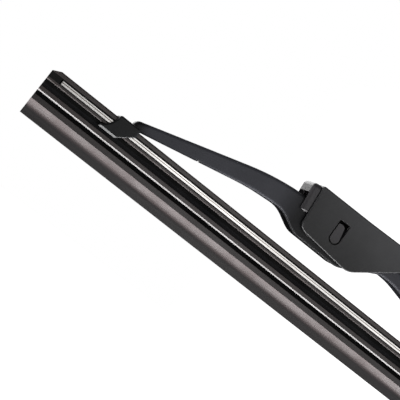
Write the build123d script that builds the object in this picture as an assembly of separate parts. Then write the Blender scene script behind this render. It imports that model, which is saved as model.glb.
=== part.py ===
from build123d import *
import math
import os

# Wiper blade: an arched bridge with a claw at each end, a wiping rubber stiffened by two steel
# strips, and a connector that rocks on a cross pin and takes the tip of the wiper arm.
# X runs along the blade with its middle at 0, Y runs across it and Z points away from the glass.
# The lip's edge lies at Z = 0. Sizes are in millimetres and angles in degrees.

# Wiping rubber: heights stack up from the lip's edge, widths are measured across the blade
BLADE_LENGTH = 177.4
LIP_HEIGHT = 2.5
FLARE_HEIGHT = 1.95
SHOULDER_HEIGHT = 1.42
HINGE_GAP = 1.02
RIB_HEIGHT = 1.47
CLAW_GROOVE = 2.0
HEAD_FLANGE = 0.95
HEAD_CAP = 1.37
LIP_EDGE_WIDTH = 0.7
LIP_ROOT_WIDTH = 1.1
LIP_FLARE_RADIUS = 2.2
SHOULDER_WIDTH = 4.6
HINGE_WIDTH = 0.9
RIB_WIDTH = 5.8
RIB_BEVEL = 0.42
NECK_WIDTH = 2.6
HEAD_WIDTH = 6.4
HEAD_BEVEL = 0.28
PROFILE_CORNER = 0.12
END_CUT_LENGTH = 2.1
END_CUT_DROP = 1.05

# Backing strips, one in each side groove of the head
STRIP_THICKNESS = 1.15
STRIP_WIDTH = 1.9
STRIP_RECESS = 0.1
STRIP_CORNER = 0.35
STRIP_EDGE = 0.12
STRIP_PLAY = 0.1
STRIP_END_PLAY = 0.25
GROOVE_END_WALL = 3.2

# Claws at the ends of the bridge
CLAW_INSET = 16.9
CLAW_FOOT = 4.8
CLAW_LENGTH = 9.05
CLAW_HEEL_RISE = 3.2
CLAW_TOE_RISE = 0.8
CLAW_TOP_INSET = 2.8
CLAW_WAIST_BOW = 0.7
CLAW_PLATE = 0.6
CLAW_CORNER = 0.55
CLAW_WALL = 1.05
CLAW_TOP_PLAY = 0.2
CLAW_SIDE_PLAY = 0.25
HOOK_THICKNESS = 0.95
HOOK_PLAY = 0.2
HOOK_NECK_PLAY = 0.45
CLAW_EDGE = 0.42
CLAW_FOOT_BEVEL = 0.5

# Bridge: an arched channel with deeper cheeks at the pivot, heights above the rubber's head
ARCH_RISE = 14.25
ARCH_FLAT = 28.3
ARCH_RADIUS = 75.5
UNDER_RISE = 10.4
UNDER_FLAT = 29.6
UNDER_RADIUS = 20.0
NOSE_OVERLAP = 2.3
NOSE_HEIGHT = 2.09
NOSE_RADIUS = 1.5
BRIDGE_WIDTH = 7.6
BRIDGE_FULL_LENGTH = 57.2
NOSE_WIDTH = 4.6
BRIDGE_WALL = 1.0
BRIDGE_ROOF = 1.2
BRIDGE_EDGE = 0.9
BRIDGE_RIM_EDGE = 0.65
CHANNEL_INSET = 17.15
NICK_LENGTH = 1.2
NICK_DEPTH = 0.3
CHEEK_RISE = 4.6
CHEEK_BACK = 8.7
CHEEK_KNEE = 6.25
CHEEK_KNEE_RISE = 3.1
CHEEK_KNEE_RADIUS = 8.0
CHEEK_BACK_FLARE = 9.7
CHEEK_BACK_RADIUS = 60.0
CHEEK_FRONT = 6.0
CHEEK_FRONT_FLARE = 11.0
CHEEK_FRONT_RADIUS = 4.0
CHEEK_TOE_RADIUS = 6.0

# Pivot pin, pressed into the cheeks and running in the clip
PIVOT_X = -7.1
PIVOT_UP = 4.0
PIN_DIAMETER = 3.0
PIN_RUNNING_CLEARANCE = 0.05
PIN_END_RECESS = 0.05

# Clip and connector are drawn square and then rocked together on the pin, as they rest
REST_ROCK = 2.2

# Adapter clip that straddles the bridge
CLIP_SIDE_PLAY = 0.1
CLIP_WALL = 0.65
CLIP_HEADROOM = 2.52
CLIP_ROOF = 1.0
CLIP_FRONT = 9.4
CLIP_FOOT_DROP = 2.15
CLIP_CORNER = 1.5
CLIP_BACK_STEP = 2.5
COLLAR_LENGTH = 2.25
COLLAR_LAP = 0.6
COLLAR_GAP = 0.3
COLLAR_DEPTH = 7.75
COLLAR_TOP_STEP = 0.4
COLLAR_SIDE_STEP = 0.45
COLLAR_HEADROOM = 1.62
COLLAR_CORNER = 1.2
COLLAR_EDGE = 1.1
COLLAR_FOOT_BEVEL = 0.35
MOUTH_DEPTH = 1.2
MOUTH_WALL = 0.55

# Arm connector: a hood over the clip that tapers into the sleeve for the arm's tip
HOOD_PLAY = 0.1
HOOD_WALL = 0.8
HOOD_ROOF = 1.15
HOOD_SEAT_PLAY = 0.1
HOOD_BACK = 9.43
HOOD_BACK_LEAN = 4.9
HOOD_LEAN_UP = 4.5
HOOD_BACK_DEPTH = 11.95
HOOD_CROWN = 0.34
HOOD_CROWN_FRONT = 6.0
HOOD_CROWN_RADIUS = 150.0
HOOD_HEEL = 8.42
HOOD_HEEL_DROP = 3.68
HOOD_CORNER_RADIUS = 2.5
HOOD_HEEL_RADIUS = 5.0
HOOD_TOP_CORNER = 0.5
HOOD_EDGE = 0.4
TAIL_REACH = 49.5
TAIL_ANGLE = 34.1
TAIL_RADIUS = 6.0
SLEEVE_LENGTH = 7.0
SLEEVE_FLOOR = 0.9
ARM_TIP_WIDTH = 7.0
ARM_TIP_THICKNESS = 2.2
ARM_TIP_PLAY = 0.1
LOCK_HOLE_DIAMETER = 3.0

# Latch pad on the clip and the window that it snaps into
WINDOW_AHEAD = 0.41
WINDOW_WIDTH = 3.3
WINDOW_ROUND_UP = 1.6
WINDOW_RISE = 4.75
WINDOW_CORNER = 0.3
WINDOW_EDGE = 0.15
PAD_GAP = 0.3
PAD_TOP_GAP = 0.85
PAD_TAPER = 0.8
PAD_RECESS = 0.15
PAD_BACK_CORNER = 0.4
PAD_FRONT_CORNER = 1.0

# Heights of the rubber's section
shoulder_low_z = LIP_HEIGHT + FLARE_HEIGHT
shoulder_top_z = shoulder_low_z + SHOULDER_HEIGHT
rib_low_z = shoulder_top_z + HINGE_GAP
rib_top_z = rib_low_z + RIB_HEIGHT
head_low_z = rib_top_z + CLAW_GROOVE
groove_low_z = head_low_z + HEAD_FLANGE
groove_top_z = groove_low_z + STRIP_THICKNESS + STRIP_PLAY
head_top_z = groove_top_z + HEAD_CAP

# Heights and places of the bridge
claw_plate_low_z = head_top_z + CLAW_TOP_PLAY
claw_top_z = claw_plate_low_z + CLAW_PLATE
hook_top_z = head_low_z - HOOK_PLAY
hook_low_z = hook_top_z - HOOK_THICKNESS
arch_top_z = head_top_z + ARCH_RISE
under_z = head_top_z + UNDER_RISE
cheek_low_z = head_top_z + CHEEK_RISE
pivot_z = cheek_low_z + PIVOT_UP
claw_toe_x = BLADE_LENGTH / 2 - CLAW_INSET
claw_inner_x = claw_toe_x - CLAW_LENGTH
nose_x = claw_inner_x + NOSE_OVERLAP
claw_inner_y = HEAD_WIDTH / 2 + CLAW_SIDE_PLAY
claw_outer_y = claw_inner_y + CLAW_WALL
under_slope = (under_z - claw_plate_low_z) / (claw_inner_x - UNDER_FLAT / 2)

# Widths and places of the clip and the connector
bridge_y = BRIDGE_WIDTH / 2
clip_inner_y = bridge_y + CLIP_SIDE_PLAY
clip_outer_y = clip_inner_y + CLIP_WALL
hood_inner_y = clip_outer_y + HOOD_PLAY
hood_outer_y = hood_inner_y + HOOD_WALL
clip_roof_low_z = arch_top_z + CLIP_HEADROOM
clip_roof_top_z = clip_roof_low_z + CLIP_ROOF
hood_back_x = PIVOT_X - HOOD_BACK
hood_roof_z = clip_roof_top_z + HOOD_SEAT_PLAY
hood_top_z = hood_roof_z + HOOD_ROOF
crown_z = hood_top_z + HOOD_CROWN
lean_z = pivot_z + HOOD_LEAN_UP
tail_end_x = PIVOT_X + TAIL_REACH
sleeve_x = tail_end_x - SLEEVE_LENGTH
socket_height = ARM_TIP_THICKNESS + 2 * ARM_TIP_PLAY
socket_width = ARM_TIP_WIDTH + 2 * ARM_TIP_PLAY
tail_low_z = hood_roof_z - socket_height - SLEEVE_FLOOR
window_x = PIVOT_X + WINDOW_AHEAD
window_round_z = pivot_z + WINDOW_ROUND_UP
window_top_z = window_round_z + WINDOW_RISE
collar_back_x = hood_back_x - COLLAR_GAP - COLLAR_LENGTH

# Reach of the cutting shapes, and the share of a direction that counts as facing that way
FAR = 2 * BLADE_LENGTH
FACING = 0.5


def side_slab(outline, half_width):
    """Extrude an outline drawn in X and Z to both sides of the middle plane."""
    return extrude(Plane.XZ * outline, half_width, both=True)


def outline_face(points, radii):
    """A face inside a closed outline of straight runs with rounded corners."""
    return make_face(FilletPolyline(*points, radius=radii, close=True).edges())


def block(low, high):
    """A box between two opposite corners."""
    size = [high[i] - low[i] for i in range(3)]
    middle = [(high[i] + low[i]) / 2 for i in range(3)]
    return Pos(*middle) * Box(*size)


def nearest_corner(face, x, z):
    """The corner of an outline that lies nearest to a point."""
    return face.vertices().sort_by_distance((x, z, 0))[0]


def rocked(piece):
    """Turn a piece about the pin, from square to the bridge to the way it rests."""
    about_pin = Pos(PIVOT_X, 0, pivot_z) * Rot(0, -REST_ROCK, 0) * Pos(-PIVOT_X, 0, -pivot_z)
    return about_pin * piece


def make_rubber():
    """One extruded profile, with a side groove for each strip and cut-back top corners."""
    half = [
        (LIP_EDGE_WIDTH / 2, 0, 0),
        (LIP_ROOT_WIDTH / 2, LIP_HEIGHT, LIP_FLARE_RADIUS),
        (SHOULDER_WIDTH / 2, shoulder_low_z, PROFILE_CORNER),
        (SHOULDER_WIDTH / 2, shoulder_top_z, PROFILE_CORNER),
        (HINGE_WIDTH / 2, shoulder_top_z, PROFILE_CORNER),
        (HINGE_WIDTH / 2, rib_low_z, PROFILE_CORNER),
        (RIB_WIDTH / 2 - RIB_BEVEL, rib_low_z, PROFILE_CORNER),
        (RIB_WIDTH / 2, rib_low_z + RIB_BEVEL, PROFILE_CORNER),
        (RIB_WIDTH / 2, rib_top_z, PROFILE_CORNER),
        (NECK_WIDTH / 2, rib_top_z, PROFILE_CORNER),
        (NECK_WIDTH / 2, head_low_z, PROFILE_CORNER),
        (HEAD_WIDTH / 2 - HEAD_BEVEL, head_low_z, PROFILE_CORNER),
        (HEAD_WIDTH / 2, head_low_z + HEAD_BEVEL, PROFILE_CORNER),
        (HEAD_WIDTH / 2, head_top_z - HEAD_BEVEL, PROFILE_CORNER),
        (HEAD_WIDTH / 2 - HEAD_BEVEL, head_top_z, PROFILE_CORNER),
    ]
    ring = half + [(-y, z, r) for y, z, r in reversed(half)]
    section = outline_face([(y, z) for y, z, r in ring], [r for y, z, r in ring])
    rubber = extrude(Plane.YZ * section, BLADE_LENGTH / 2, both=True)
    groove_end = BLADE_LENGTH / 2 - GROOVE_END_WALL
    groove_floor_y = HEAD_WIDTH / 2 - STRIP_RECESS - STRIP_WIDTH
    for side in (-1, 1):
        near, far = sorted((side * groove_floor_y, side * HEAD_WIDTH))
        rubber -= block((-groove_end, near, groove_low_z), (groove_end, far, groove_top_z))
    for end in (-1, 1):
        tip = end * BLADE_LENGTH / 2
        wedge = [
            (tip, head_top_z - END_CUT_DROP),
            (tip, head_top_z),
            (tip - end * END_CUT_LENGTH, head_top_z),
        ]
        rubber -= side_slab(make_face(Polyline(*wedge, close=True).edges()), HEAD_WIDTH)
    return rubber


def make_strip(side):
    """A flat steel strip with rolled edges that lies on the floor of its groove."""
    reach = BLADE_LENGTH / 2 - GROOVE_END_WALL - STRIP_END_PLAY
    plan = RectangleRounded(2 * reach, STRIP_WIDTH, STRIP_CORNER)
    middle_y = side * (HEAD_WIDTH / 2 - STRIP_RECESS - STRIP_WIDTH / 2)
    strip = extrude(plan, STRIP_THICKNESS)
    rims = strip.edges().group_by(Axis.Z)
    strip = fillet(rims[0] + rims[-1], STRIP_EDGE)
    return Pos(0, middle_y, groove_low_z) * strip


def make_claw():
    """The right-hand claw: a saddle over the rubber's head with a hook under each side."""
    top_x = claw_toe_x - CLAW_TOP_INSET
    toe_top = (claw_toe_x, hook_low_z + CLAW_TOE_RISE)
    shoulder = (top_x, claw_top_z - CLAW_PLATE)
    lean = math.atan2(toe_top[0] - shoulder[0], shoulder[1] - toe_top[1])
    waist = (
        (toe_top[0] + shoulder[0]) / 2 - CLAW_WAIST_BOW * math.cos(lean),
        (toe_top[1] + shoulder[1]) / 2 - CLAW_WAIST_BOW * math.sin(lean),
    )
    runs = FilletPolyline(
        shoulder,
        (top_x, claw_top_z),
        (claw_inner_x, claw_top_z),
        (claw_inner_x, hook_low_z + CLAW_HEEL_RISE),
        (claw_toe_x - CLAW_FOOT, hook_low_z),
        (claw_toe_x, hook_low_z),
        toe_top,
        radius=[CLAW_CORNER, CLAW_CORNER, CLAW_CORNER, 0, 0],
    )
    outline = make_face(runs.edges() + ThreePointArc(toe_top, waist, shoulder).edges())
    saddle = side_slab(outline, claw_outer_y)
    rim = saddle.faces().sort_by(Axis.Y)
    feet = (rim[0].edges() + rim[-1].edges()).group_by(Axis.Z)[0]
    saddle = chamfer(feet, CLAW_FOOT_BEVEL)
    rim = saddle.faces().sort_by(Axis.Y)
    rims = (rim[0].edges() + rim[-1].edges()).sort_by(Axis.Z)[2:]
    saddle = fillet(rims, CLAW_EDGE)
    saddle -= block((0, -claw_inner_y, hook_top_z), (FAR, claw_inner_y, claw_plate_low_z))
    throat_y = NECK_WIDTH / 2 + HOOK_NECK_PLAY
    return saddle - block((0, -throat_y, 0), (FAR, throat_y, claw_plate_low_z))


def arch_runs(inset):
    """The arch's top line, moved inwards, from the left nose to the right one."""
    centre_x = ARCH_FLAT / 2
    centre_z = arch_top_z - ARCH_RADIUS
    nose_top_z = claw_plate_low_z + NOSE_HEIGHT
    span = math.hypot(nose_x - centre_x, nose_top_z - centre_z)
    steep = math.atan2(nose_x - centre_x, nose_top_z - centre_z) - math.acos(ARCH_RADIUS / span)
    radius = ARCH_RADIUS - inset
    touch = (centre_x + radius * math.sin(steep), centre_z + radius * math.cos(steep))
    middle = (centre_x + radius * math.sin(steep / 2), centre_z + radius * math.cos(steep / 2))
    crown = (centre_x, arch_top_z - inset)
    end = (nose_x, touch[1] - (nose_x - touch[0]) * math.tan(steep))
    right = ThreePointArc(crown, middle, touch).edges()
    left = mirror(ThreePointArc(crown, middle, touch), Plane.YZ).edges()
    flat = Line(crown, (-crown[0], crown[1])).edges()
    return right + left + flat, touch, end


def arch_outline():
    """Side view of the bridge without its claws."""
    crown, touch, end = arch_runs(0)
    right = [
        touch,
        end,
        (nose_x, claw_plate_low_z),
        (claw_inner_x, claw_plate_low_z),
        (UNDER_FLAT / 2, under_z),
    ]
    ring = right + [(-x, z) for x, z in reversed(right)]
    radii = [NOSE_RADIUS, 0, 0, UNDER_RADIUS, UNDER_RADIUS, 0, 0, NOSE_RADIUS]
    arch = make_face(FilletPolyline(*ring, radius=radii).edges() + crown)
    back_x = PIVOT_X - CHEEK_BACK
    front_x = PIVOT_X + CHEEK_FRONT
    knee = (back_x - CHEEK_KNEE, cheek_low_z + CHEEK_KNEE_RISE)
    roots = []
    for x in (knee[0] - CHEEK_BACK_FLARE, front_x + CHEEK_FRONT_FLARE):
        roots.append((x, under_z - under_slope * max(0, abs(x) - UNDER_FLAT / 2)))
    cheek_points = [
        (back_x, cheek_low_z),
        (front_x, cheek_low_z),
        roots[1],
        (front_x, arch_top_z - BRIDGE_ROOF),
        (back_x, arch_top_z - BRIDGE_ROOF),
        roots[0],
        knee,
    ]
    cheek_radii = [CHEEK_TOE_RADIUS, CHEEK_TOE_RADIUS, 0, 0, 0, 0, CHEEK_KNEE_RADIUS]
    outline = arch + outline_face(cheek_points, cheek_radii)
    outline = fillet(nearest_corner(outline, *roots[0]), CHEEK_BACK_RADIUS)
    return fillet(nearest_corner(outline, *roots[1]), CHEEK_FRONT_RADIUS)


def bridge_plan(inset):
    """Top view of the bridge: parallel at the pivot, narrowing towards both noses."""
    right = [
        (BRIDGE_FULL_LENGTH / 2, bridge_y - inset),
        (nose_x, NOSE_WIDTH / 2 - inset),
        (nose_x, inset - NOSE_WIDTH / 2),
        (BRIDGE_FULL_LENGTH / 2, inset - bridge_y),
    ]
    ring = right + [(-x, y) for x, y in reversed(right)]
    return extrude(make_face(Polyline(*ring, close=True).edges()), FAR)


def long_edges(solid, way):
    """The edges along both sides of the faces that look up (way 1) or down (way -1)."""
    faces = [face for face in solid.faces() if way * face.normal_at().Z > FACING]
    edges = [edge for face in faces for edge in face.edges()]
    return [edge for edge in edges if abs(edge.tangent_at(0.5).Y) < FACING]


def make_bridge():
    """The arched channel with its two claws, made in one piece."""
    arms = side_slab(arch_outline(), bridge_y) & bridge_plan(0)
    arms = fillet(long_edges(arms, 1), BRIDGE_EDGE)
    arms = fillet(long_edges(arms, -1), BRIDGE_RIM_EDGE)
    roof, roof_touch, roof_end = arch_runs(BRIDGE_ROOF)
    slope = (roof_touch[1] - roof_end[1]) / (roof_end[0] - roof_touch[0])
    wall_x = claw_inner_x - CHANNEL_INSET
    wall_top = (wall_x, roof_touch[1] - slope * (wall_x - roof_touch[0]))
    drop = [roof_touch, wall_top, (wall_x, 0), (-wall_x, 0)]
    drop += [(-wall_top[0], wall_top[1]), (-roof_touch[0], roof_touch[1])]
    channel = side_slab(make_face(Polyline(*drop).edges() + roof), bridge_y)
    bridge = arms - (channel & bridge_plan(BRIDGE_WALL))
    claw = make_claw()
    bridge += claw
    bridge += mirror(claw, Plane.YZ)
    nick_z = claw_plate_low_z + under_slope * (claw_inner_x - wall_x)
    nick = block((wall_x, -bridge_y, 0), (wall_x + NICK_LENGTH, bridge_y, nick_z + NICK_DEPTH))
    bridge -= nick
    bridge -= mirror(nick, Plane.YZ)
    bore = Cylinder(PIN_DIAMETER / 2, BRIDGE_WIDTH + BRIDGE_WALL, rotation=(90, 0, 0))
    return bridge - Pos(PIVOT_X, 0, pivot_z) * bore


def make_pin():
    """The cross pin, its ends just inside the clip's outer faces."""
    pin = Cylinder(PIN_DIAMETER / 2, 2 * (clip_outer_y - PIN_END_RECESS), rotation=(90, 0, 0))
    return Pos(PIVOT_X, 0, pivot_z) * pin


def window_outline():
    """Window in the hood's side: round below and square above."""
    half = WINDOW_WIDTH / 2
    left = (window_x - half, window_round_z)
    right = (window_x + half, window_round_z)
    sides = FilletPolyline(
        left,
        (window_x - half, window_top_z),
        (window_x + half, window_top_z),
        right,
        radius=[WINDOW_CORNER, WINDOW_CORNER],
    )
    foot = ThreePointArc(right, (window_x, window_round_z - half), left)
    return make_face(sides.edges() + foot.edges())


def pad_outline():
    """Latch pad: round below, tapered on one side and short of the window's top."""
    half = WINDOW_WIDTH / 2 - PAD_GAP
    top = window_top_z - PAD_TOP_GAP
    left = (window_x - half, window_round_z)
    right = (window_x + half, window_round_z)
    sides = FilletPolyline(
        left,
        (window_x - half, top),
        (window_x + half - PAD_TAPER, top),
        right,
        radius=[PAD_BACK_CORNER, PAD_FRONT_CORNER],
    )
    foot = ThreePointArc(right, (window_x, window_round_z - half), left)
    return make_face(sides.edges() + foot.edges())


def make_clip():
    """Clip over the bridge: two cheeks, a roof, an end collar and a slotted latch on each side."""
    front_x = PIVOT_X + CLIP_FRONT
    back_x = hood_back_x - COLLAR_GAP
    foot_z = pivot_z - CLIP_FOOT_DROP
    wall_back_x = hood_back_x + CLIP_BACK_STEP
    collar_top_z = crown_z - COLLAR_TOP_STEP
    collar_low_z = collar_top_z - COLLAR_DEPTH
    wall_low_z = collar_low_z + COLLAR_FOOT_BEVEL
    corners = [
        (back_x - COLLAR_LAP, wall_low_z, 0),
        (wall_back_x, wall_low_z, 0),
        (wall_back_x, foot_z, CLIP_CORNER),
        (front_x, foot_z, CLIP_CORNER),
        (front_x, clip_roof_top_z, CLIP_CORNER),
        (back_x - COLLAR_LAP, clip_roof_top_z, 0),
    ]
    side = outline_face([(x, z) for x, z, r in corners], [r for x, z, r in corners])
    clip = side_slab(side, clip_outer_y)
    clip -= block((-FAR, -clip_inner_y, 0), (FAR, clip_inner_y, clip_roof_low_z))
    collar_y = hood_outer_y - COLLAR_SIDE_STEP
    collar = block((collar_back_x, -collar_y, collar_low_z), (back_x, collar_y, collar_top_z))
    crest = collar.edges().filter_by(Axis.X).group_by(Axis.Z)[-1]
    collar = fillet(crest, COLLAR_CORNER)
    collar = fillet(collar.faces().sort_by(Axis.X)[0].edges(), COLLAR_EDGE)
    for side in (-1, 1):
        corner = [
            (side * collar_y, collar_low_z),
            (side * collar_y, collar_low_z + COLLAR_FOOT_BEVEL),
            (side * (collar_y - COLLAR_FOOT_BEVEL), collar_low_z),
        ]
        collar -= extrude(Plane.YZ * make_face(Polyline(*corner, close=True).edges()), FAR, both=True)
    collar = Pos(back_x, 0, lean_z) * Rot(0, -HOOD_BACK_LEAN, 0) * Pos(-back_x, 0, -lean_z) * collar
    doorway_z = arch_top_z + COLLAR_HEADROOM
    collar -= block((-FAR, -clip_inner_y, 0), (FAR, clip_inner_y, doorway_z))
    mouth_y = collar_y - MOUTH_WALL
    mouth_x = collar_back_x + MOUTH_DEPTH
    collar -= block((-FAR, -mouth_y, 0), (mouth_x, mouth_y, doorway_z))
    clip += collar
    pad = side_slab(pad_outline(), hood_outer_y - PAD_RECESS)
    slot = side_slab(window_outline(), clip_outer_y) - pad
    clip -= slot - block((-FAR, -clip_outer_y, 0), (FAR, clip_outer_y, window_round_z))
    clip += pad - block((-FAR, -clip_inner_y, 0), (FAR, clip_inner_y, FAR))
    bore_radius = PIN_DIAMETER / 2 + PIN_RUNNING_CLEARANCE
    bore = Cylinder(bore_radius, 2 * clip_outer_y, rotation=(90, 0, 0))
    return rocked(clip - Pos(PIVOT_X, 0, pivot_z) * bore)


def hood_outline():
    """Side view of the connector: a deep hood with a leaning back end, and a slim tail."""
    heel = (PIVOT_X + HOOD_HEEL, pivot_z - HOOD_HEEL_DROP)
    rise_x = (tail_low_z - heel[1]) / math.tan(math.radians(TAIL_ANGLE))
    lean = math.tan(math.radians(HOOD_BACK_LEAN))
    back_low_z = hood_top_z - HOOD_BACK_DEPTH
    points = [
        (PIVOT_X + HOOD_CROWN_FRONT, hood_top_z),
        (hood_back_x - lean * (crown_z - lean_z), crown_z),
        (hood_back_x - lean * (back_low_z - lean_z), back_low_z),
        heel,
        (heel[0] + rise_x, tail_low_z),
        (tail_end_x, tail_low_z),
        (tail_end_x, hood_top_z),
    ]
    radii = [
        HOOD_CROWN_RADIUS,
        HOOD_TOP_CORNER,
        HOOD_CORNER_RADIUS,
        HOOD_HEEL_RADIUS,
        TAIL_RADIUS,
        HOOD_TOP_CORNER,
        HOOD_TOP_CORNER,
    ]
    return outline_face(points, radii)


def make_connector():
    """The hood with its two windows, and the sleeve that the arm's tip slides into."""
    hood = side_slab(hood_outline(), hood_outer_y)
    rim = hood.faces().sort_by(Axis.Y)
    hood = fillet(rim[0].edges() + rim[-1].edges(), HOOD_EDGE)
    hood -= block((-FAR, -hood_inner_y, 0), (sleeve_x, hood_inner_y, hood_roof_z))
    socket_low_z = hood_roof_z - socket_height
    socket_y = socket_width / 2
    hood -= block((sleeve_x, -socket_y, socket_low_z), (FAR, socket_y, hood_roof_z))
    hood -= side_slab(window_outline(), hood_outer_y)
    walls = hood.faces().filter_by(Axis.Y).sort_by(Axis.Y)
    openings = walls[0].inner_wires() + walls[-1].inner_wires()
    hood = fillet([edge for opening in openings for edge in opening.edges()], WINDOW_EDGE)
    lock = Cylinder(LOCK_HOLE_DIAMETER / 2, 2 * HOOD_ROOF + socket_height)
    return rocked(hood - Pos(sleeve_x + SLEEVE_LENGTH / 2, 0, hood_top_z) * lock)


pieces = {
    "wiper_rubber": make_rubber(),
    "front_strip": make_strip(-1),
    "rear_strip": make_strip(1),
    "bridge": make_bridge(),
    "pivot_pin": make_pin(),
    "adapter_clip": make_clip(),
    "arm_connector": make_connector(),
}

os.makedirs("parts", exist_ok=True)
for name, shape in pieces.items():
    export_step(shape, f"parts/{name}.step")
    print(name, round(shape.volume, 2), shape.bounding_box())
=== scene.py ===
# %% [markdown]
# # A wiper blade, dressed for its picture
# The blade comes in as finished solids: a wiping rubber, two steel strips, an arched bridge, a
# cross pin, a clip and the connector for the arm. Shapes are settled there, so this lesson is
# about what a solid can't carry: finishes, light and the camera.
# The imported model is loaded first, because later steps measure its solids.

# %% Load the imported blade
import math

import bpy
from mathutils import Matrix, Vector


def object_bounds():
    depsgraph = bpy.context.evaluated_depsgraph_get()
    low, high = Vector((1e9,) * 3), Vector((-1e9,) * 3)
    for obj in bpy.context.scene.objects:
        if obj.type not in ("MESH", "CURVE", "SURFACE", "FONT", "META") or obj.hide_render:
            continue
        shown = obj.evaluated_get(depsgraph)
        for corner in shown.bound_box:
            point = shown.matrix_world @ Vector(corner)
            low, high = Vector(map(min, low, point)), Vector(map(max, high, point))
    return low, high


MILLIMETRE = 0.001

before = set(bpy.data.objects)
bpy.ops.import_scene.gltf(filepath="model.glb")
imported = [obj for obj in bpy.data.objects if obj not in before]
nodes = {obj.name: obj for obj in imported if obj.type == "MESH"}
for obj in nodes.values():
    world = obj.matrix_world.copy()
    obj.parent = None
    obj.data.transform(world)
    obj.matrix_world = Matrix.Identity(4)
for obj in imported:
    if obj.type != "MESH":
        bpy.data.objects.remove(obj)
cad_low, cad_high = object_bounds()
print("solids:", sorted(nodes))
print("size in mm:", [round(side / MILLIMETRE, 2) for side in cad_high - cad_low])

# %% [markdown]
# ## Measures of single solids
# Some finishes follow a solid: the rubber's bands follow its height, and the bridge carries painted
# shade round its pin. Those measures could be typed in, but then they would go stale when the model
# changes. Each solid knows its own box, so they are read from there.

# %% Measure rubber and pin
def reach(name, axis):
    """Where a solid starts and ends along one axis, X, Y or Z, in metres."""
    places = [corner["XYZ".index(axis)] for corner in nodes[name].bound_box]
    return min(places), max(places)


rubber_top = reach("wiper_rubber", "Z")[1]
pivot_place = sum(reach("pivot_pin", "X")) / 2
print("rubber's top in mm:", round(rubber_top / MILLIMETRE, 2))
print("pin's place in mm:", round(pivot_place / MILLIMETRE, 2))

# %% [markdown]
# ## The camera
# The blade was photographed from its side with the picture turned, so it runs from the upper left
# to the lower right. A camera could be aimed with a Track To constraint, but a constraint leaves
# the roll to chance. Here the view is built from three directions instead: where the lens looks,
# what is right and what is up. Pan, tilt and roll then stay readable as three angles.

# %% Look along the blade from its left end
PICTURE_SIDE = 400
FOCAL_IN_PIXELS = 1017.3
NEAREST_SEEN = 0.01
PAN = math.radians(11.3135)
TILT = math.radians(1.3947)
ROLL = math.radians(38.157)
LENS_SPOT = Vector((-90.43, -254.0, 4.15)) * MILLIMETRE

ahead = Vector((math.sin(PAN) * math.cos(TILT), math.cos(PAN) * math.cos(TILT), math.sin(TILT)))
level_right = Vector((math.cos(PAN), -math.sin(PAN), 0.0))
level_up = level_right.cross(ahead)
picture_right = level_right * math.cos(ROLL) + level_up * math.sin(ROLL)
picture_up = level_up * math.cos(ROLL) - level_right * math.sin(ROLL)

lens = bpy.data.cameras.new("side_view")
lens.sensor_fit = "HORIZONTAL"
lens.lens = FOCAL_IN_PIXELS * lens.sensor_width / PICTURE_SIDE
lens.clip_start = NEAREST_SEEN
camera = bpy.data.objects.new("side_view", lens)
turn = Matrix((picture_right, picture_up, -ahead)).transposed()
camera.matrix_world = Matrix.Translation(LENS_SPOT) @ turn.to_4x4()
bpy.context.scene.collection.objects.link(camera)
bpy.context.scene.camera = camera
print("lens in mm:", round(lens.lens, 2))

# %% [markdown]
# ## Tools for node networks
# The room and every finish are small networks of nodes. They could be drawn by hand in the node
# editor, but the same few steps come back in each of them. Short helpers keep the networks
# readable: one adds a node with its settings, others read a place on the piece or do one sum, and
# the last starts a material and hands back its Principled surface. Object coordinates are in
# metres here.

# %% Helpers for nodes
def add_node(tree, kind, **settings):
    """Add a node of one kind and set its own properties."""
    node = tree.nodes.new(kind)
    for name, value in settings.items():
        setattr(node, name, value)
    return node


def scaled_place(tree, scale):
    """Object coordinates in metres, scaled along each axis."""
    place = add_node(tree, "ShaderNodeTexCoord")
    sizer = add_node(tree, "ShaderNodeVectorMath", operation="MULTIPLY")
    sizer.inputs[1].default_value = scale
    tree.links.new(place.outputs["Object"], sizer.inputs[0])
    return sizer.outputs["Vector"]


def place_along(tree, axis):
    """The place along one axis, X, Y or Z, in metres."""
    place = add_node(tree, "ShaderNodeTexCoord")
    axes = add_node(tree, "ShaderNodeSeparateXYZ")
    tree.links.new(place.outputs["Object"], axes.inputs["Vector"])
    return axes.outputs[axis]


def distance_along(tree, axis, place):
    """How far a point lies from a place on one axis, to either side, in metres."""
    shift = add_node(tree, "ShaderNodeMath", operation="SUBTRACT")
    shift.inputs[1].default_value = place
    tree.links.new(place_along(tree, axis), shift.inputs[0])
    distance = add_node(tree, "ShaderNodeMath", operation="ABSOLUTE")
    tree.links.new(shift.outputs["Value"], distance.inputs[0])
    return distance.outputs["Value"]


def calculate(tree, operation, first, second):
    """One sum on two values of the network."""
    step = add_node(tree, "ShaderNodeMath", operation=operation)
    tree.links.new(first, step.inputs[0])
    tree.links.new(second, step.inputs[1])
    return step.outputs["Value"]


def shaded(tree, colour, amount):
    """A colour made darker or lighter by an amount that changes over the surface."""
    shade = add_node(tree, "ShaderNodeVectorMath", operation="SCALE")
    tree.links.new(colour, shade.inputs[0])
    tree.links.new(amount, shade.inputs["Scale"])
    return shade.outputs["Vector"]


def between(tree, value, low, high, start=0.0, stop=1.0):
    """Stretch a value that runs from start to stop so that it runs from low to high."""
    stretch = add_node(tree, "ShaderNodeMapRange")
    stretch.inputs["From Min"].default_value = start
    stretch.inputs["From Max"].default_value = stop
    stretch.inputs["To Min"].default_value = low
    stretch.inputs["To Max"].default_value = high
    tree.links.new(value, stretch.inputs["Value"])
    return stretch.outputs["Result"]


def new_finish(name):
    """A material with an empty Principled surface, ready for its networks."""
    material = bpy.data.materials.new(name)
    material.use_nodes = True
    return material, material.node_tree, material.node_tree.nodes["Principled BSDF"]


helpers = (scaled_place, place_along, distance_along, calculate, shaded, between, new_finish)
print("helpers ready:", [helper.__name__ for helper in helpers])

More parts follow.
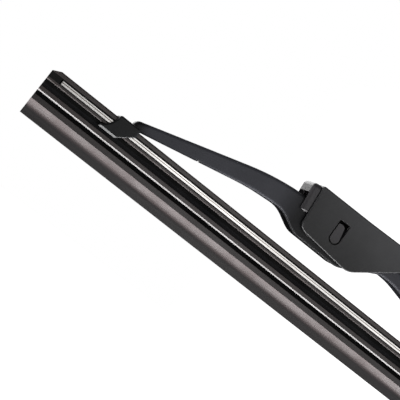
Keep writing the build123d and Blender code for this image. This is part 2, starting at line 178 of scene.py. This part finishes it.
# %% [markdown]
# ## Floor
# The background of the picture is plain white, with no shadow near the blade. A floor right under
# the blade would catch one, so it lies well below, where light also reaches the undersides. It
# shows itself white to the camera and only glows faintly for the blade, so the rounded lower edges
# stay dark. A plane is enough, because nothing but its paper shows.

# %% Lay a pale floor
FLOOR_DROP = 0.36
FLOOR_SIDE = 8.0
FLOOR_WHITE = (0.92, 0.92, 0.92, 1.0)
FLOOR_ROUGHNESS = 0.9
FLOOR_GLOW = 0.2
PURE_WHITE = (1.0, 1.0, 1.0, 1.0)

bpy.ops.object.select_all(action="DESELECT")
bpy.ops.mesh.primitive_plane_add(size=FLOOR_SIDE, location=(0.0, 0.0, -FLOOR_DROP))
floor = bpy.context.object
floor.name = "floor"
paper, paper_tree, paper_surface = new_finish("floor_paper")
paper_surface.inputs["Base Color"].default_value = FLOOR_WHITE
paper_surface.inputs["Roughness"].default_value = FLOOR_ROUGHNESS
paper_surface.inputs["Emission Color"].default_value = PURE_WHITE
paper_ray = add_node(paper_tree, "ShaderNodeLightPath")
paper_glow = between(paper_tree, paper_ray.outputs["Is Camera Ray"], FLOOR_GLOW, 1.0)
paper_tree.links.new(paper_glow, paper_surface.inputs["Emission Strength"])
floor.data.materials.append(paper)
print("floor at", round(floor.location.z, 3), "m")

# %% [markdown]
# ## Room
# The blade's flat sides are almost black and the rounded top edges are darker still. That happens
# in a studio with dark curtains behind the camera and overhead, because a flat side mirrors what
# is behind the camera. The flat sides grow lighter towards the connector, so the curtains let in
# more light on the right. Curtains could be modelled, but a world whose strength changes with
# direction does the same. Rays that come straight from the camera always see it white, and the
# Standard view keeps white from turning grey.

# %% Hang dark curtains in a white room
CURTAIN_STRENGTH = 0.32
ROOM_STRENGTH = 0.9
CURTAIN_MIDDLE = -0.75
CURTAIN_EDGE = 0.2
OVERHEAD_SHARE = 0.2
OVERHEAD_EDGE = 0.2
OVERHEAD_FULL = 0.55
LEFT_SHARE = 0.75
RIGHT_SHARE = 1.45
LEFT_EDGE = 0.03
RIGHT_EDGE = 0.43

room = bpy.data.worlds.new("white_room")
room.use_nodes = True
walls = room.node_tree
direction = add_node(walls, "ShaderNodeTexCoord")
axes = add_node(walls, "ShaderNodeSeparateXYZ")
walls.links.new(direction.outputs["Generated"], axes.inputs["Vector"])
curtain = between(
    walls, axes.outputs["Y"], CURTAIN_STRENGTH, ROOM_STRENGTH, CURTAIN_MIDDLE, CURTAIN_EDGE)
overhead = between(walls, axes.outputs["Z"], 1.0, OVERHEAD_SHARE, OVERHEAD_EDGE, OVERHEAD_FULL)
sideways = between(walls, axes.outputs["X"], LEFT_SHARE, RIGHT_SHARE, LEFT_EDGE, RIGHT_EDGE)
hung = calculate(walls, "MULTIPLY", calculate(walls, "MULTIPLY", curtain, overhead), sideways)
ray = add_node(walls, "ShaderNodeLightPath")
strength = calculate(walls, "MAXIMUM", hung, ray.outputs["Is Camera Ray"])
walls.links.new(strength, walls.nodes["Background"].inputs["Strength"])
walls.nodes["Background"].inputs["Color"].default_value = PURE_WHITE
bpy.context.scene.world = room
bpy.context.scene.view_settings.view_transform = "Standard"
print("room from", CURTAIN_STRENGTH, "to", ROOM_STRENGTH)

# %% [markdown]
# ## Soft lights
# Black rubber and black plastic have almost no colour of their own, so their shape is told by
# reflections. A long soft box below the lip draws the bright lines along every edge that looks
# down. A second one behind the blade lights the faces that look along it. Two upright panels
# beside the camera show as soft patches on the flat sides, one left of the connector and one
# right of it. Spot lights would leave hard dots instead. Area lights are used because their size
# sets how soft each reflection is. They are hidden from the camera, so only their reflections
# show.

# %% Hang the soft boxes
def soft_box(name, spot, target, width, depth, brightness):
    """An area light of a given brightness that faces a target."""
    lamp = bpy.data.lights.new(name, "AREA")
    lamp.shape = "RECTANGLE"
    lamp.size = width
    lamp.size_y = depth
    lamp.energy = brightness * math.pi * width * depth
    holder = bpy.data.objects.new(name, lamp)
    holder.location = spot
    holder.rotation_euler = (Vector(target) - Vector(spot)).to_track_quat("-Z", "Y").to_euler()
    holder.visible_camera = False
    bpy.context.scene.collection.objects.link(holder)
    print(name, "gives", round(lamp.energy, 2), "W")


blade_middle = (cad_low + cad_high) / 2
soft_box("light_below", (0.0, 0.035, -0.26), blade_middle, width=0.8, depth=0.12, brightness=20.0)
soft_box("light_behind", (-0.15, 0.5, 0.21), blade_middle, width=0.6, depth=0.3, brightness=3.2)
soft_box("panel_left", (0.155, -0.98, 0.05), blade_middle, width=0.21, depth=0.5, brightness=1.8)
soft_box("panel_right", (0.52, -0.98, 0.1), blade_middle, width=0.24, depth=0.5, brightness=1.1)

# %% [markdown]
# ## Grain of a moulded skin
# A mould is spark-eroded or blasted, so the plastic comes out with fine pits and with broad cloudy
# patches where it filled a little differently. Three plastics share that skin, and the rubber has
# a finer one. Each material could hold its own copy of the pattern, but a shader node group holds
# it once, and each material sets its own fineness. Object coordinates are changed to millimetres
# first, so the fineness says how many pits there are on each millimetre. The group only gives out
# values that change over the surface.

# %% Node group for the moulded grain
PER_METRE = (1000.0, 1000.0, 1000.0)
PIT_DETAIL = 3.0
PATCH_DETAIL = 2.0


def moulded_grain_group():
    """Fine pits and broad patches, with their fineness per millimetre as inputs."""
    group = bpy.data.node_groups.new("moulded_grain", "ShaderNodeTree")
    sides = group.interface
    sides.new_socket("Pits per mm", in_out="INPUT", socket_type="NodeSocketFloat")
    sides.new_socket("Patches per mm", in_out="INPUT", socket_type="NodeSocketFloat")
    sides.new_socket("Pits", in_out="OUTPUT", socket_type="NodeSocketFloat")
    sides.new_socket("Patches", in_out="OUTPUT", socket_type="NodeSocketFloat")
    inlet = add_node(group, "NodeGroupInput")
    outlet = add_node(group, "NodeGroupOutput")
    place = scaled_place(group, PER_METRE)
    for result, detail in (("Pits", PIT_DETAIL), ("Patches", PATCH_DETAIL)):
        noise = add_node(group, "ShaderNodeTexNoise")
        noise.inputs["Detail"].default_value = detail
        group.links.new(place, noise.inputs["Vector"])
        group.links.new(inlet.outputs[result + " per mm"], noise.inputs["Scale"])
        group.links.new(noise.outputs["Fac"], outlet.inputs[result])
    return group


moulded_grain = moulded_grain_group()
print("group", moulded_grain.name, "with", len(moulded_grain.nodes), "nodes")

# %% [markdown]
# ## Lines drawn along the blade
# The rubber is pulled through a die and the strips are rolled, so both carry fine lines along
# their length. A picture of scratches could be wrapped round them, but noise that is stretched
# fifty times along X gives such lines at any size, and it follows the real direction of making
# because X runs along the blade. Rubber and strip steel share it as a group.

# %% Node group for the drawn lines
LINE_STRETCH = (20.0, 1000.0, 1000.0)
LINE_DETAIL = 2.0


def drawn_lines_group():
    """Streaks along X, with their fineness per millimetre as input."""
    group = bpy.data.node_groups.new("drawn_lines", "ShaderNodeTree")
    group.interface.new_socket("Lines per mm", in_out="INPUT", socket_type="NodeSocketFloat")
    group.interface.new_socket("Lines", in_out="OUTPUT", socket_type="NodeSocketFloat")
    inlet = add_node(group, "NodeGroupInput")
    outlet = add_node(group, "NodeGroupOutput")
    noise = add_node(group, "ShaderNodeTexNoise")
    noise.inputs["Detail"].default_value = LINE_DETAIL
    group.links.new(scaled_place(group, LINE_STRETCH), noise.inputs["Vector"])
    group.links.new(inlet.outputs["Lines per mm"], noise.inputs["Scale"])
    group.links.new(noise.outputs["Fac"], outlet.inputs["Lines"])
    return group


drawn_lines = drawn_lines_group()
print("group", drawn_lines.name, "with", len(drawn_lines.nodes), "nodes")

# %% [markdown]
# ## From pattern to surface
# A group gives out plain numbers, and each finish has to turn them into something seen. Four
# helpers do that: one places a group, one makes a number into a colour, one stretches a pattern,
# because noise rarely leaves the middle of its range, and one raises the surface by a few
# thousandths of a millimetre. Real displacement could raise it too, but the relief is far too fine
# for that, and a bump leaves the mesh as it is.

# %% Helpers for finishes
NOISE_LOW = 0.3
NOISE_HIGH = 0.7
RELIEF_STRENGTH = 0.3


def use_group(tree, group, **amounts):
    """Place a node group and set its inputs by name, with _ for each space."""
    node = add_node(tree, "ShaderNodeGroup", node_tree=group)
    for name, amount in amounts.items():
        node.inputs[name.replace("_", " ")].default_value = amount
    return node.outputs


def colour_by(tree, value, stops):
    """A colour ramp that turns a value into colours at given places."""
    ramp = add_node(tree, "ShaderNodeValToRGB")
    marks = ramp.color_ramp.elements
    while len(marks) < len(stops):
        marks.new(1.0)
    for mark, (place, colour) in zip(marks, stops):
        mark.position = place
        mark.color = (*colour, 1.0)
    tree.links.new(value, ramp.inputs["Fac"])
    return ramp.outputs["Color"]


def from_noise(tree, pattern, low, high):
    """Stretch a noise pattern so that it runs from low to high."""
    return between(tree, pattern, low, high, NOISE_LOW, NOISE_HIGH)


def raise_surface(tree, surface, height, depth):
    """Let a pattern raise and sink the surface by up to depth metres."""
    bump = add_node(tree, "ShaderNodeBump")
    bump.inputs["Distance"].default_value = depth
    bump.inputs["Strength"].default_value = RELIEF_STRENGTH
    tree.links.new(height, bump.inputs["Height"])
    tree.links.new(bump.outputs["Normal"], surface.inputs["Normal"])


finish_helpers = (use_group, colour_by, from_noise, raise_surface)
print("helpers ready:", [helper.__name__ for helper in finish_helpers])

# %% [markdown]
# ## Bands on the rubber
# The rubber is black, with a matt graphite coat on the flare above its lip that looks brownish.
# Flat faces are rubbed grey by handling and the rib's lower edge is worn smooth. The grooves and
# the edges beside the strip are matt, and their near-black colour is painted shade where shade
# falls in the recesses. All of this lies in bands along the blade, so colour and roughness are read
# from the height, Z, with two ramps.
# Several materials could be used instead, but then the coat couldn't fade out towards the lip.

# %% Heights, colours and roughness of the bands
COAT_START = 1.8
COAT_FULL = 2.7
SHOULDER_LOW = 4.45
SHOULDER_TOP = 5.87
RIB_LOW = 6.89
RIB_BEVEL_TOP = 7.31
RIB_TOP = 8.36
GROOVE_MIDDLE = 9.4
HEAD_LOW = 10.36
HEAD_BEVEL_TOP = 10.66
SLOT_LOW = 11.31
SLOT_TOP = 12.56
# The slot's edges get bands of painted shade, this many mm wide.
SLOT_SHADOW_WIDTH = 0.22
BAND_BORDER = 0.04
RUBBER_TOP = rubber_top / MILLIMETRE

# The two groove colours are painted shade: the grooves are darkened where shade falls.
GROOVE_SHADE_BLACK = (0.002, 0.002, 0.002)
GROOVE_SHADE_GREY = (0.016, 0.016, 0.0185)
LIP_BLACK = (0.022, 0.019, 0.02)
RUBBED_GREY = (0.029, 0.0222, 0.0218)
HEAD_GREY = (0.05, 0.038, 0.0365)
GRAPHITE_COAT = (0.028, 0.0145, 0.0145)

RUBBED_ROUGH = (0.32, 0.32, 0.32)
WORN_ROUGH = (0.26, 0.26, 0.26)
COAT_ROUGH = (0.62, 0.62, 0.62)
GROOVE_ROUGH = (0.9, 0.9, 0.9)


def banded(tree, first, bands):
    """A ramp over the rubber's height: bands of (low, top, colour) in mm above the first colour."""
    stops = [(0.0, first), (COAT_START, first)]
    for low, top, colour in bands:
        stops += [(low + BAND_BORDER, colour), (top, colour)]
    height = between(tree, place_along(tree, "Z"), 0.0, 1.0, 0.0, rubber_top)
    return colour_by(tree, height, [(place / RUBBER_TOP, colour) for place, colour in stops])


print("bands up to", round(RUBBER_TOP, 2), "mm")

# %% [markdown]
# ## Wiping rubber
# On the bands lie the traces of making: drawn lines along the blade, a fine grain and broad
# patches. They could be left out on something this dark, but an even gloss would look like
# lacquer, so they change the colour and the roughness a little and give the surface its relief.

# %% Finish of the rubber
RUBBER_LINES_PER_MM = 3.0
RUBBER_PITS_PER_MM = 9.0
RUBBER_PATCHES_PER_MM = 0.15
STREAK_SHADES = (0.75, 1.25)
PATCH_SHADES = (0.9, 1.1)
PIT_SHARE = 0.3
RUBBER_RELIEF = 0.004 * MILLIMETRE


def rubber_finish():
    """Extruded black rubber with a graphite coat on the flare and painted shade in its grooves."""
    material, tree, surface = new_finish("wiping_rubber")
    # Grooves and the edges beside the slot are painted near black as shade.
    colour = banded(tree, LIP_BLACK, [
        (COAT_FULL, SHOULDER_LOW, GRAPHITE_COAT),
        (SHOULDER_LOW, SHOULDER_TOP, RUBBED_GREY),
        (SHOULDER_TOP, RIB_LOW, GROOVE_SHADE_BLACK),
        (RIB_LOW, RIB_TOP, HEAD_GREY),
        (RIB_TOP, GROOVE_MIDDLE, GROOVE_SHADE_GREY),
        (GROOVE_MIDDLE, HEAD_LOW, GROOVE_SHADE_BLACK),
        (HEAD_LOW, SLOT_LOW - SLOT_SHADOW_WIDTH, HEAD_GREY),
        (SLOT_LOW - SLOT_SHADOW_WIDTH, SLOT_TOP + SLOT_SHADOW_WIDTH, GROOVE_SHADE_BLACK),
        (SLOT_TOP + SLOT_SHADOW_WIDTH, RUBBER_TOP, HEAD_GREY),
    ])
    roughness = banded(tree, RUBBED_ROUGH, [
        (COAT_FULL, SHOULDER_LOW, COAT_ROUGH),
        (SHOULDER_LOW, SHOULDER_TOP, RUBBED_ROUGH),
        (SHOULDER_TOP, RIB_LOW, GROOVE_ROUGH),
        (RIB_LOW, RIB_BEVEL_TOP, WORN_ROUGH),
        (RIB_BEVEL_TOP, RIB_TOP, RUBBED_ROUGH),
        (RIB_TOP, HEAD_LOW, GROOVE_ROUGH),
        (HEAD_LOW, HEAD_BEVEL_TOP, COAT_ROUGH),
        (HEAD_BEVEL_TOP, SLOT_LOW - SLOT_SHADOW_WIDTH, RUBBED_ROUGH),
        (SLOT_LOW - SLOT_SHADOW_WIDTH, SLOT_TOP + SLOT_SHADOW_WIDTH, GROOVE_ROUGH),
        (SLOT_TOP + SLOT_SHADOW_WIDTH, RUBBER_TOP, RUBBED_ROUGH),
    ])
    lines = use_group(tree, drawn_lines, Lines_per_mm=RUBBER_LINES_PER_MM)["Lines"]
    grain = use_group(
        tree, moulded_grain, Pits_per_mm=RUBBER_PITS_PER_MM, Patches_per_mm=RUBBER_PATCHES_PER_MM)
    streaks = from_noise(tree, lines, *STREAK_SHADES)
    patches = from_noise(tree, grain["Patches"], *PATCH_SHADES)
    tree.links.new(shaded(tree, colour, streaks), surface.inputs["Base Color"])
    tree.links.new(calculate(tree, "MULTIPLY", roughness, patches), surface.inputs["Roughness"])
    pits = between(tree, grain["Pits"], 0.0, PIT_SHARE)
    raise_surface(tree, surface, calculate(tree, "ADD", lines, pits), RUBBER_RELIEF)
    return material


wiping_rubber = rubber_finish()
print("finish", wiping_rubber.name, "with", len(wiping_rubber.node_tree.nodes), "nodes")

# %% [markdown]
# ## Bare steel
# Strips and pin are bare spring steel. Both could be one material, but the working lines would
# then run the wrong way on one of them, and the direction of the lines is what makes metal look
# worked. So one function makes the steel and takes two others, for the lines and for the colour.

# %% One function for worked steel
STEEL_RELIEF = 0.006 * MILLIMETRE


def steel_finish(name, lines, tint, smooth, rough):
    """Bare steel whose colour, roughness and relief follow its working lines."""
    material, tree, surface = new_finish(name)
    streaks = lines(tree)
    surface.inputs["Metallic"].default_value = 1.0
    tree.links.new(tint(tree, streaks), surface.inputs["Base Color"])
    tree.links.new(from_noise(tree, streaks, rough, smooth), surface.inputs["Roughness"])
    raise_surface(tree, surface, streaks, STEEL_RELIEF)
    return material


print("steel relief in mm:", round(STEEL_RELIEF / MILLIMETRE, 4))

# %% [markdown]
# ## Strip steel
# The strips are rolled, with lines along the blade. Their narrow sides show two bright bands with
# a duller, tan line between them. That line could be a groove in the solid, but it is only a
# change of colour, so a ramp over the height draws it.

# %% Finish of the strips
STRIP_BRIGHT = (0.93, 0.905, 0.88)
STRIP_MIDDLE_TAN = (0.11, 0.085, 0.065)
EDGE_LINE_STOPS = [(0.43, STRIP_BRIGHT), (0.48, STRIP_MIDDLE_TAN), (0.58, STRIP_MIDDLE_TAN), (0.63, STRIP_BRIGHT)]
ROLLED_LINES_PER_MM = 7.0
ROLLED_SHADES = (0.88, 1.0)


def rolled_lines(tree):
    """Lines along the blade, from rolling."""
    return use_group(tree, drawn_lines, Lines_per_mm=ROLLED_LINES_PER_MM)["Lines"]


def edge_line_tint(tree, streaks):
    """Bright steel with a tan line along the middle of the narrow side."""
    low, top = SLOT_LOW * MILLIMETRE, SLOT_TOP * MILLIMETRE
    height = between(tree, place_along(tree, "Z"), 0.0, 1.0, low, top)
    return shaded(tree, colour_by(tree, height, EDGE_LINE_STOPS), from_noise(tree, streaks, *ROLLED_SHADES))


strip_steel = steel_finish("strip_steel", rolled_lines, edge_line_tint, smooth=0.2, rough=0.36)
print("finish", strip_steel.name, "with", len(strip_steel.node_tree.nodes), "nodes")

# %% [markdown]
# ## Pin steel
# The pin is turned and ground, so its lines run round it. Its ends sit just behind the gaps round
# the clip's pads, where clean steel would flash, so they are painted black as shade. That painted
# shade could be a second material on the end faces, yet fading it in along Y needs no new slot.

# %% Finish of the pin
PIN_BRIGHT = (0.66, 0.66, 0.66)
PIN_DULL = (0.45, 0.45, 0.46)
TURNED_STRETCH = (60.0, 1000.0, 60.0)
TURNED_LINES_PER_MM = 8.0
PIN_END_SHADE_START = 2.0 * MILLIMETRE
PIN_END_SHADE_FULL = 2.5 * MILLIMETRE
PIN_END_SHADE_SHARE = 0.03


def turned_lines(tree):
    """Lines round the pin, from turning."""
    noise = add_node(tree, "ShaderNodeTexNoise")
    noise.inputs["Scale"].default_value = TURNED_LINES_PER_MM
    tree.links.new(scaled_place(tree, TURNED_STRETCH), noise.inputs["Vector"])
    return noise.outputs["Fac"]


def turned_tint(tree, streaks):
    """Grey steel, brighter on the ridges of its lines and painted black as shade at both ends."""
    steel = colour_by(tree, streaks, [(NOISE_LOW, PIN_DULL), (NOISE_HIGH, PIN_BRIGHT)])
    from_middle = distance_along(tree, "Y", 0.0)
    # Both ends fade to painted shade, black along Y.
    return shaded(tree, steel, between(tree, from_middle, 1.0, PIN_END_SHADE_SHARE, PIN_END_SHADE_START, PIN_END_SHADE_FULL))


pin_steel = steel_finish("pin_steel", turned_lines, turned_tint, smooth=0.22, rough=0.4)
print("finish", pin_steel.name, "with", len(pin_steel.node_tree.nodes), "nodes")

# %% [markdown]
# ## Wear, painted shade and painted light on the plastics
# The bridge's arms have turned grey in the sun, while its claws are still as black as they were
# moulded. The cheeks under the connector are darkened with painted shade. The clip and the
# connector carry painted light: lighter towards the top and towards the arm. These marks could be
# painted on by hand, but a few distances say the same and fit both sides at once. Each function
# gives two shares: how light and how rough the plastic is.

# %% Where the plastics are grey or black
CLAW_START = 61.0 * MILLIMETRE
CLAW_FULL = 63.5 * MILLIMETRE
CLAW_ROUGH_SHARE = 0.9
CHEEK_START = 18.0 * MILLIMETRE
CHEEK_FULL = 11.0 * MILLIMETRE
DARK_CLAW_AND_SHADE_SHARE = 0.1
PAINTED_LIGHT_LOW = 20.0 * MILLIMETRE
PAINTED_LIGHT_HIGH = 34.0 * MILLIMETRE
PAINTED_LIGHT_BACK = -16.0 * MILLIMETRE
PAINTED_LIGHT_FRONT = 18.0 * MILLIMETRE
UPWARD_SHARES = (0.5, 1.9)
FORWARD_SHARES = (1.0, 2.6)
TOP_ROUGH_SHARE = 1.1


def dark_claws_and_shaded_cheeks(tree):
    """The bridge: black at both claws, and darkened with painted shade at the pivot."""
    from_middle = distance_along(tree, "X", 0.0)
    from_pivot = distance_along(tree, "X", pivot_place)
    claws = between(tree, from_middle, 1.0, DARK_CLAW_AND_SHADE_SHARE, CLAW_START, CLAW_FULL)
    # Painted shade: the cheeks round the pivot, under the connector, are darkened.
    cheeks = between(tree, from_pivot, DARK_CLAW_AND_SHADE_SHARE, 1.0, CHEEK_FULL, CHEEK_START)
    dullness = between(tree, from_middle, 1.0, CLAW_ROUGH_SHARE, CLAW_START, CLAW_FULL)
    return calculate(tree, "MULTIPLY", claws, cheeks), dullness


def painted_light_gradient(tree):
    """The clip and the connector: painted light, lighter to the top and to the arm."""
    height = place_along(tree, "Z")
    # Painted light: the colour grows lighter upwards and towards the arm.
    upwards = between(tree, height, *UPWARD_SHARES, PAINTED_LIGHT_LOW, PAINTED_LIGHT_HIGH)
    forwards = between(tree, place_along(tree, "X"), *FORWARD_SHARES, PAINTED_LIGHT_BACK, PAINTED_LIGHT_FRONT)
    dullness = between(tree, height, 1.0, TOP_ROUGH_SHARE, PAINTED_LIGHT_LOW, PAINTED_LIGHT_HIGH)
    return calculate(tree, "MULTIPLY", upwards, forwards), dullness


print("wear:", dark_claws_and_shaded_cheeks.__name__, "and", painted_light_gradient.__name__)

# %% [markdown]
# ## Moulded plastics
# Bridge, clip and connector are black glass-filled plastic. They were moulded in different tools,
# so each has its own black: the bridge slightly blue, the clip slightly warm, the connector
# neutral. Three materials could be written out, but only the colours, the roughness, the sheen,
# the grain and the wear with its painted shade and light differ, so one function makes all three.

# %% Finishes of the plastics
PLASTIC_PATCHES_PER_MM = 0.12
PLASTIC_RELIEF = 0.006 * MILLIMETRE


def plastic_finish(name, dark, light, roughness, sheen, pits_per_mm, wear_and_painted_shading):
    """Moulded plastic: cloudy black with a fine grain, roughness as (smooth, rough)."""
    material, tree, surface = new_finish(name)
    surface.inputs["Specular IOR Level"].default_value = sheen
    grain = use_group(
        tree, moulded_grain, Pits_per_mm=pits_per_mm, Patches_per_mm=PLASTIC_PATCHES_PER_MM)
    lightness, dullness = wear_and_painted_shading(tree)
    colour = colour_by(tree, grain["Patches"], [(NOISE_LOW, dark), (NOISE_HIGH, light)])
    pitted = from_noise(tree, grain["Pits"], *roughness)
    tree.links.new(shaded(tree, colour, lightness), surface.inputs["Base Color"])
    tree.links.new(calculate(tree, "MULTIPLY", pitted, dullness), surface.inputs["Roughness"])
    raise_surface(tree, surface, grain["Pits"], PLASTIC_RELIEF)
    return material


bridge_plastic = plastic_finish(
    "bridge_plastic", dark=(0.06, 0.061, 0.073), light=(0.072, 0.0732, 0.087),
    roughness=(0.4, 0.54), sheen=0.3, pits_per_mm=6.0, wear_and_painted_shading=dark_claws_and_shaded_cheeks)
clip_plastic = plastic_finish(
    "clip_plastic", dark=(0.026, 0.0243, 0.0269), light=(0.0347, 0.032, 0.0355),
    roughness=(0.34, 0.46), sheen=0.5, pits_per_mm=7.0, wear_and_painted_shading=painted_light_gradient)
connector_plastic = plastic_finish(
    "connector_plastic", dark=(0.021, 0.021, 0.0222), light=(0.0275, 0.0275, 0.0292),
    roughness=(0.38, 0.5), sheen=0.42, pits_per_mm=6.0, wear_and_painted_shading=painted_light_gradient)
print("finishes", [finish.name for finish in (bridge_plastic, clip_plastic, connector_plastic)])

# %% [markdown]
# ## Finishes on their pieces
# The solids arrive with one material slot each. Slots could be cleared and made anew, but putting
# the new finish into the slot that is there keeps the mesh as it is, which matters because the
# same solids also carry the physics.

# %% Fill the material slots
finishes = {
    "wiper_rubber": wiping_rubber,
    "front_strip": strip_steel,
    "rear_strip": strip_steel,
    "bridge": bridge_plastic,
    "pivot_pin": pin_steel,
    "adapter_clip": clip_plastic,
    "arm_connector": connector_plastic,
}
for name, finish in finishes.items():
    nodes[name].material_slots[0].material = finish
    print(name, "wears", finish.name)
